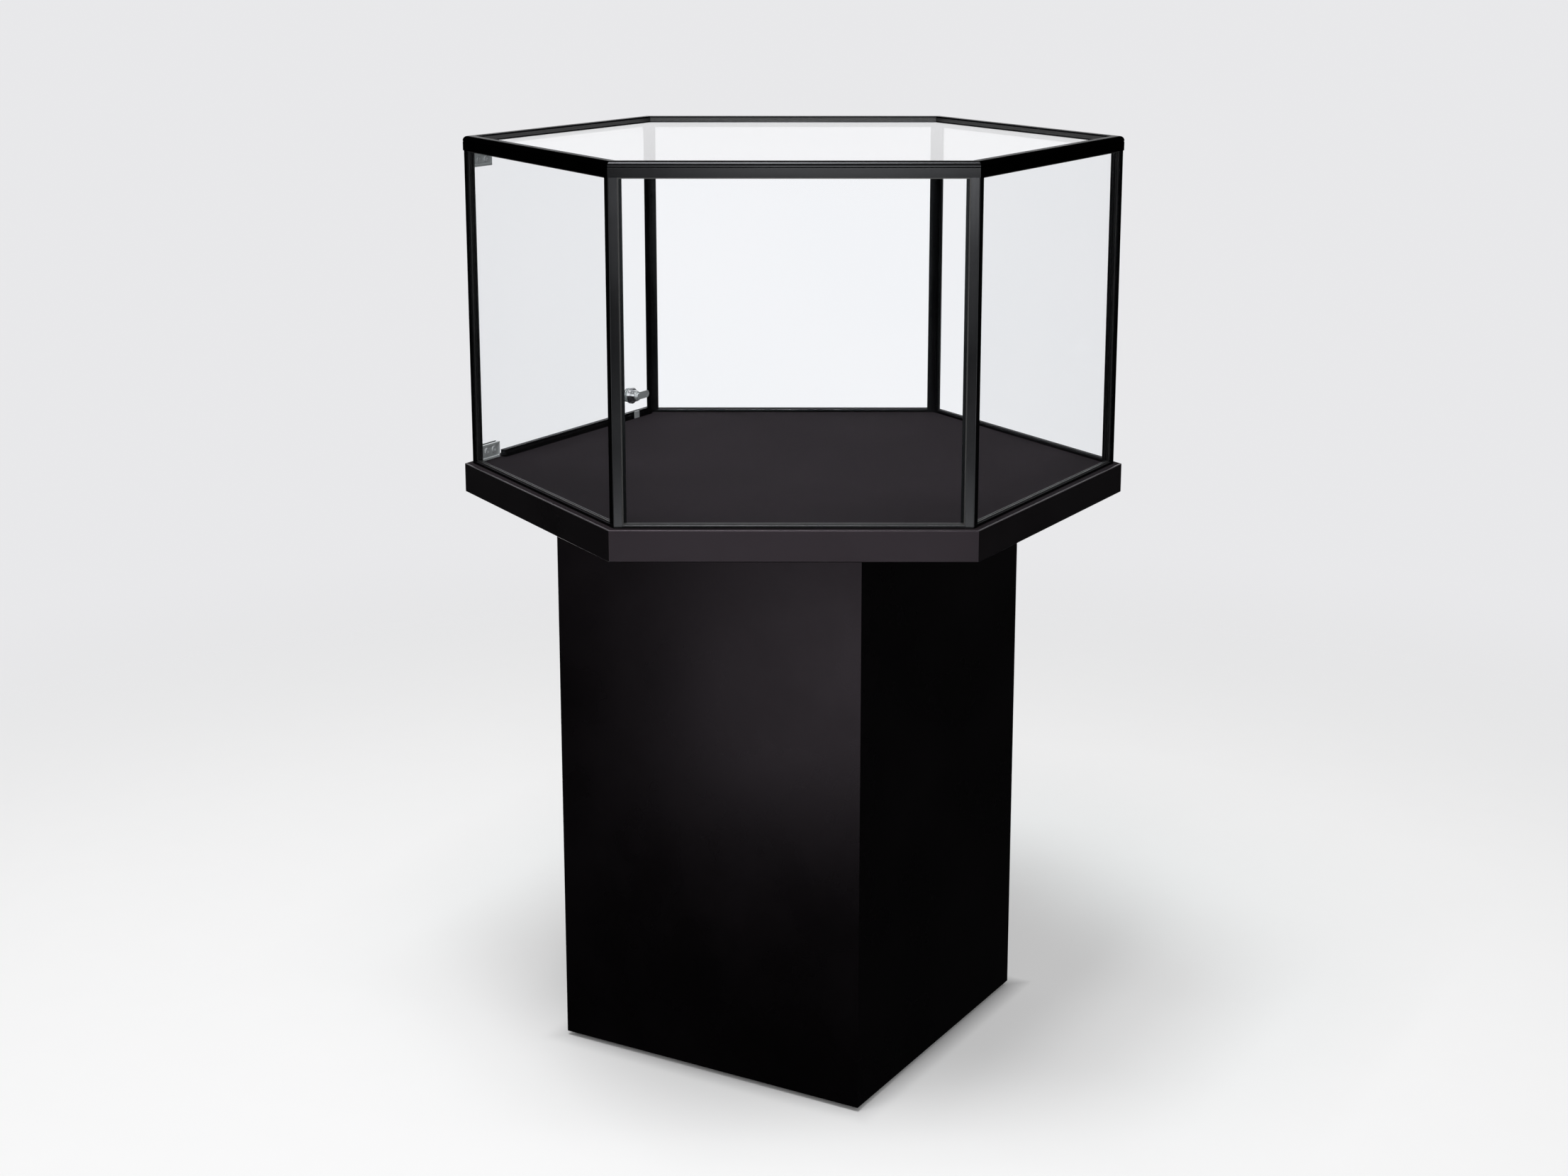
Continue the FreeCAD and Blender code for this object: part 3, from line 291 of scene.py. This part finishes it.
def anodised(name, level, edge, heading=None):
    """Black anodised extrusion: die lines along the bar and a faint bead-blasted sparkle.

    The bar stands upright, or lies along a heading in degrees."""
    look = Look(name, {"Metallic": 1.0, "Specular Tint": (*grey(edge), 1.0)})
    along = (1.0, 1.0, DIE_LINE_STRETCH) if heading is None else (DIE_LINE_STRETCH, 1.0, 1.0)
    lines = look.noise(DIE_LINES, detail=2.0, vector=look.placed(along, heading or 0.0))
    cloud = look.noise(ANODISED_CLOUD)
    sparkle = look.noise(BLAST_SPARKLE, detail=1.0)
    dark, light = (cool(level * share) for share in ANODISED_TONES)
    look.paint(look.tones(lines, dark, light), look.between(cloud, *ANODISED_ROUGHNESS))
    look.relief((sparkle, BLAST_DEPTH), (lines, DIE_LINE_DEPTH))
    return look.material


def moulded(name, dark, light, rough, specular, grain):
    """Moulded rubber or nylon: an even grain in its tone and its gloss, with this many grains to a metre."""
    look = Look(name, {"Specular IOR Level": specular})
    skin = look.noise(grain)
    gloss = (rough + step for step in MOULDED_GLOSS)
    look.paint(look.tones(skin, dark, light, GRAIN_WINDOW), look.between(skin, *gloss))
    look.relief((skin, MOULDED_DEPTH))
    return look.material


def bare_metal(name, dark, light, rough, along=None, metallic=1.0):
    """Plated or polished metal: faint polishing lines, drawn out along one axis, in tone and gloss."""
    look = Look(name, {"Metallic": metallic})
    stretch = tuple(POLISH_STRETCH if axis == along else 1.0 for axis in "xyz")
    lines = look.noise(POLISH_LINES, vector=look.placed(stretch))
    haze = look.noise(POLISH_HAZE)
    look.paint(look.tones(lines, dark, light), look.between(haze, *rough))
    look.relief((lines, POLISH_DEPTH))
    return look.material


def chip_board(name):
    """Bare chipboard: pale and brown chips pressed together, dull and slightly rough."""
    look = Look(name, {"Specular IOR Level": CHIP_SPECULAR})
    chips = look.speckle(CHIPS, look.placed((1.0, 1.0, CHIP_FLATNESS)))
    tone = look.noise(CHIP_TONES, detail=5.0, roughness=0.7)
    look.paint(look.colours(tone, CHIP_COLOURS), look.between(tone, *CHIP_ROUGHNESS))
    look.relief((chips, CHIP_DEPTH), (tone, CHIP_TONE_DEPTH))
    return look.material


def glass(name, ior, gloss):
    """Clear sheet glass, faintly cool, with a trace of haze; lamp light goes straight through it."""
    look = Look(name, {"Transmission Weight": 1.0, "IOR": ior, "Specular Tint": (*grey(gloss), 1.0)})
    haze = look.noise(GLASS_HAZE)
    look.paint(look.tones(haze, *GLASS_TINTS, GRAIN_WINDOW), look.between(haze, *GLASS_ROUGHNESS))
    path = look.add("ShaderNodeLightPath")
    clear = look.add("ShaderNodeBsdfTransparent", Color=GLASS_SHADE).outputs["BSDF"]
    look.cover((path.outputs["Is Shadow Ray"], clear), (path.outputs["Is Diffuse Ray"], clear))
    return look.material


def dress(names, material):
    """Give these nodes of the frame one material."""
    for name in names:
        node = frame["nodes"][name]
        node.data.materials.clear()
        node.data.materials.append(material)


def soften(names, width, segments=2):
    """Break the sharp edges of these nodes by a small round."""
    for name in names:
        node = frame["nodes"][name]
        weld = node.modifiers.new("weld", "WELD")
        weld.merge_threshold = WELD_REACH
        bevel = node.modifiers.new("round", "BEVEL")
        bevel.width = width
        bevel.segments = segments
        bevel.limit_method = "ANGLE"
        bevel.angle_limit = radians(SHARP_ANGLE)
        bevel.use_clamp_overlap = True
        normals = node.modifiers.new("normals", "WEIGHTED_NORMAL")
        normals.keep_sharp = False


def nodes_by_slot():
    """The names of the frame's nodes, by material slot."""
    slots = {}
    for row in frame["record"]["subparts"]:
        slots.setdefault(row["material_slot"], []).append(row["node"])
    return slots


def dress_case(slots):
    """Materials for every node of the frame."""
    chrome = {"dark": (0.84, 0.85, 0.86), "light": (0.91, 0.92, 0.93)}
    steel = {"dark": (0.72, 0.72, 0.73), "light": (0.86, 0.86, 0.87)}
    zinc = {"dark": (0.42, 0.42, 0.40), "light": (0.58, 0.57, 0.53)}
    cast = {"dark": (0.40, 0.40, 0.41), "light": (0.56, 0.56, 0.57)}
    finishes = {
        # One black laminate at different levels: the pedestal's and the edge bands' are painted far darker
        # than the deck's, so that their sides stay black under the lamps: painted shade.
        "black_laminate": laminate("black_laminate", plum(0.0005), plum(0.0009), rough=0.28, specular=0.168),
        "deck_laminate": laminate("deck_laminate", plum(0.0165), plum(0.0225), rough=0.6, specular=0.003),
        "edge_band": laminate("edge_band", plum(0.0022), plum(0.0030), rough=0.30, specular=0.375),
        "raw_board": chip_board("raw_board"),
        "clear_glass": glass("clear_glass", ior=1.2, gloss=0.7),
        "black_rubber": moulded("black_rubber", grey(0.006), grey(0.011),
                                rough=0.36, specular=0.7, grain=1500),
        "black_nylon": moulded("black_nylon", grey(0.010), grey(0.016), rough=0.5, specular=0.3, grain=900),
        "chrome": bare_metal("chrome", **chrome, rough=(0.16, 0.22), along="z", metallic=0.35),
        "bright_steel": bare_metal("bright_steel", **steel, rough=(0.20, 0.30), along="x", metallic=0.4),
        "zinc_steel": bare_metal("zinc_steel", **zinc, rough=(0.32, 0.45)),
        "cast_key": bare_metal("cast_key", **cast, rough=(0.45, 0.6)),
    }
    for slot, material in finishes.items():
        dress(slots[slot], material)
    dress(["top_pane"], glass("roof_glass", ior=1.5, gloss=1.0))
    dress(POLISHED, bare_metal("polished_chrome", **chrome, rough=(0.08, 0.14), along="y"))
    # One black anodising at three levels: the top rails painted darker with a weak edge tint (painted shade),
    # the uprights and low bars lighter with a strong edge tint (painted highlight).
    dress(POSTS, anodised("anodised_upright", level=0.045, edge=0.4))
    for side, facing in SIDE_FACING.items():
        along = facing + QUARTER_TURN
        low_bar = "door_sill" if side == "door" else f"bottom_rail_{side}"
        dress([f"top_rail_{side}"], anodised(f"anodised_top_{side}", level=0.018, edge=0.12, heading=along))
        dress([low_bar], anodised(f"anodised_low_{side}", level=0.040, edge=0.5, heading=along))


def break_edges(slots):
    """Small rounds on bars, panels and metal parts, so that their edges catch the light."""
    low_bars = [name for name in slots["black_anodised"] if name.startswith("bottom_rail")]
    soften([name for name in slots["black_anodised"] if name not in low_bars], BAR_ROUND)
    soften(low_bars, LOW_BAR_ROUND, segments=3)
    soften(slots["black_laminate"], PANEL_ROUND)
    soften(slots["chrome"], CHROME_ROUND)
    soften(SMALL_METAL, SMALL_ROUND)


def light_world():
    """A pale backdrop for the camera, brighter behind the glass, and an even fill for the rest.

    Gloss shows the backdrop above the horizon and a dim floor below it, except on the lit side,
    where the backdrop comes further down."""
    world = bpy.data.worlds.new("studio")
    bpy.context.scene.world = world
    world.use_nodes = True
    world.cycles.sampling_method = "NONE"
    tree = world.node_tree
    tree.nodes.clear()

    def background(colour, strength=1.0):
        node = tree.nodes.new("ShaderNodeBackground")
        node.inputs["Color"].default_value = (*colour, 1.0)
        node.inputs["Strength"].default_value = strength
        return node.outputs["Background"]

    def through(band, level, reach=1.0):
        """From 0 to reach as a level goes through this band."""
        rise = tree.nodes.new("ShaderNodeMapRange")
        rise.interpolation_type = "SMOOTHSTEP"
        rise.inputs["From Min"].default_value = band[0]
        rise.inputs["From Max"].default_value = band[1]
        rise.inputs["To Max"].default_value = reach
        tree.links.new(level, rise.inputs["Value"])
        return rise.outputs["Result"]

    path = tree.nodes.new("ShaderNodeLightPath")
    heading = tree.nodes.new("ShaderNodeTexCoord").outputs["Generated"]
    split = tree.nodes.new("ShaderNodeSeparateXYZ")
    tree.links.new(heading, split.inputs["Vector"])
    height = split.outputs["Z"]
    lit = tree.nodes.new("ShaderNodeVectorMath")
    lit.operation = "DOT_PRODUCT"
    lit.inputs[1].default_value = LIT_SIDE
    tree.links.new(heading, lit.inputs[0])
    lifted = worked_out(tree, "ADD", height, through(LIT_BAND, lit.outputs["Value"], LIT_DROP))

    bright = background(BRIGHT)
    sky = mixed(tree, through(CEILING_BAND, height), bright, background(CEILING))
    gloss = mixed(tree, through(HORIZON_BAND, lifted), background(DIM), sky)
    seen = background(WHITE, FILL_LEVEL)
    seen = mixed(tree, path.outputs["Is Glossy Ray"], seen, gloss)
    seen = mixed(tree, path.outputs["Is Transmission Ray"], seen, bright)
    seen = mixed(tree, in_a_mirror(tree, path), seen, gloss)
    seen = mixed(tree, path.outputs["Is Camera Ray"], seen, background(PALE))
    tree.links.new(seen, tree.nodes.new("ShaderNodeOutputWorld").inputs["Surface"])


def glow_away_from_base(look):
    """The share of the floor's own glow, which ends at the square base and falls away over a band round it: a
    painted shadow round the base, over the lamps' own shadow there.
    """
    either_side = look.add("ShaderNodeVectorMath")
    either_side.operation = "ABSOLUTE"
    look.join(look.coordinates, either_side.inputs[0])
    split = look.add("ShaderNodeSeparateXYZ")
    look.join(either_side.outputs["Vector"], split.inputs["Vector"])
    square = worked_out(look.tree, "MAXIMUM", split.outputs["X"], split.outputs["Y"])
    return look.between(square, 0.0, FLOOR_GLOW_SHARE, PAINTED_SHADOW_BAND)


def floor_paper():
    """Pale paper that fades out with distance and doesn't show in gloss."""
    look = Look("floor_paper", {"Specular IOR Level": 0.0, "Roughness": FLOOR_ROUGHNESS})
    light = tuple(level * FLOOR_TOOTH_GAIN for level in FLOOR_COLOUR)
    look.paint(look.tones(look.noise(FLOOR_TOOTH, detail=4.0), FLOOR_COLOUR, light))
    distance = look.add("ShaderNodeVectorMath")
    distance.operation = "LENGTH"
    look.join(look.coordinates, distance.inputs[0])
    fade = look.add("ShaderNodeMapRange", From_Min=FLOOR_FADE[0], From_Max=FLOOR_FADE[1])
    fade.interpolation_type = "SMOOTHSTEP"
    look.join(distance.outputs["Value"], fade.inputs["Value"])
    path = look.add("ShaderNodeLightPath")
    share = worked_out(look.tree, "MULTIPLY", path.outputs["Is Camera Ray"], glow_away_from_base(look))
    glow = look.add("ShaderNodeEmission", Color=(*WHITE, 1.0)).outputs["Emission"]
    clear = look.add("ShaderNodeBsdfTransparent").outputs["BSDF"]
    look.cover((share, glow), (fade.outputs["Result"], clear), (in_a_mirror(look.tree, path), clear))
    return look.material


def lay_floor():
    """A pale round floor under the case."""
    mesh = bpy.data.meshes.new("floor")
    shape = bmesh.new()
    bmesh.ops.create_circle(shape, cap_ends=True, radius=FLOOR_RADIUS, segments=FLOOR_STEPS)
    shape.to_mesh(mesh)
    shape.free()
    mesh.materials.append(floor_paper())
    floor = bpy.data.objects.new("floor", mesh)
    bpy.context.scene.collection.objects.link(floor)


def hang_lamps(slots):
    """Softboxes that light the case, and low cards that show only in gloss; some are kept off the panes."""
    panes = bpy.data.collections.new("panes")
    for name in slots["clear_glass"]:
        panes.objects.link(frame["nodes"][name])
    for member in panes.collection_objects:
        member.light_linking.link_state = "EXCLUDE"
    for name, (place, aim, width, height, power, turns) in {**SOFTBOXES, **CARDS}.items():
        lamp = bpy.data.lights.new(name, "AREA")
        lamp.shape = "RECTANGLE"
        lamp.size = width
        lamp.size_y = height
        lamp.energy = power
        for degrees in turns:
            turn = Matrix.Rotation(radians(degrees), 3, "Z")
            obj = bpy.data.objects.new(name, lamp)
            bpy.context.scene.collection.objects.link(obj)
            obj.location = turn @ Vector(place)
            obj.rotation_euler = (turn @ (Vector(place) - Vector(aim))).to_track_quat("Z", "Y").to_euler()
            obj.visible_camera = False
            obj.visible_diffuse = name in SOFTBOXES
            if name in BESIDE_PANES:
                obj.visible_transmission = False
                obj.light_linking.receiver_collection = panes


def place_camera():
    lens = bpy.data.cameras.new("viewpoint")
    lens.sensor_width = SENSOR_MM
    lens.lens = FOCAL_PIXELS * SENSOR_MM / PHOTO_WIDTH
    lens.shift_y = RISE_PIXELS / PHOTO_WIDTH
    camera = bpy.data.objects.new("viewpoint", lens)
    camera.location = CAMERA_PLACE
    camera.rotation_euler = (pi / 2 - radians(CAMERA_PITCH), 0.0, radians(CAMERA_HEADING) - pi / 2)
    bpy.context.scene.collection.objects.link(camera)
    bpy.context.scene.camera = camera


node_names = nodes_by_slot()
dress_case(node_names)
break_edges(node_names)
light_world()
lay_floor()
hang_lamps(node_names)
place_camera()
bpy.context.scene.view_settings.view_transform = "Standard"
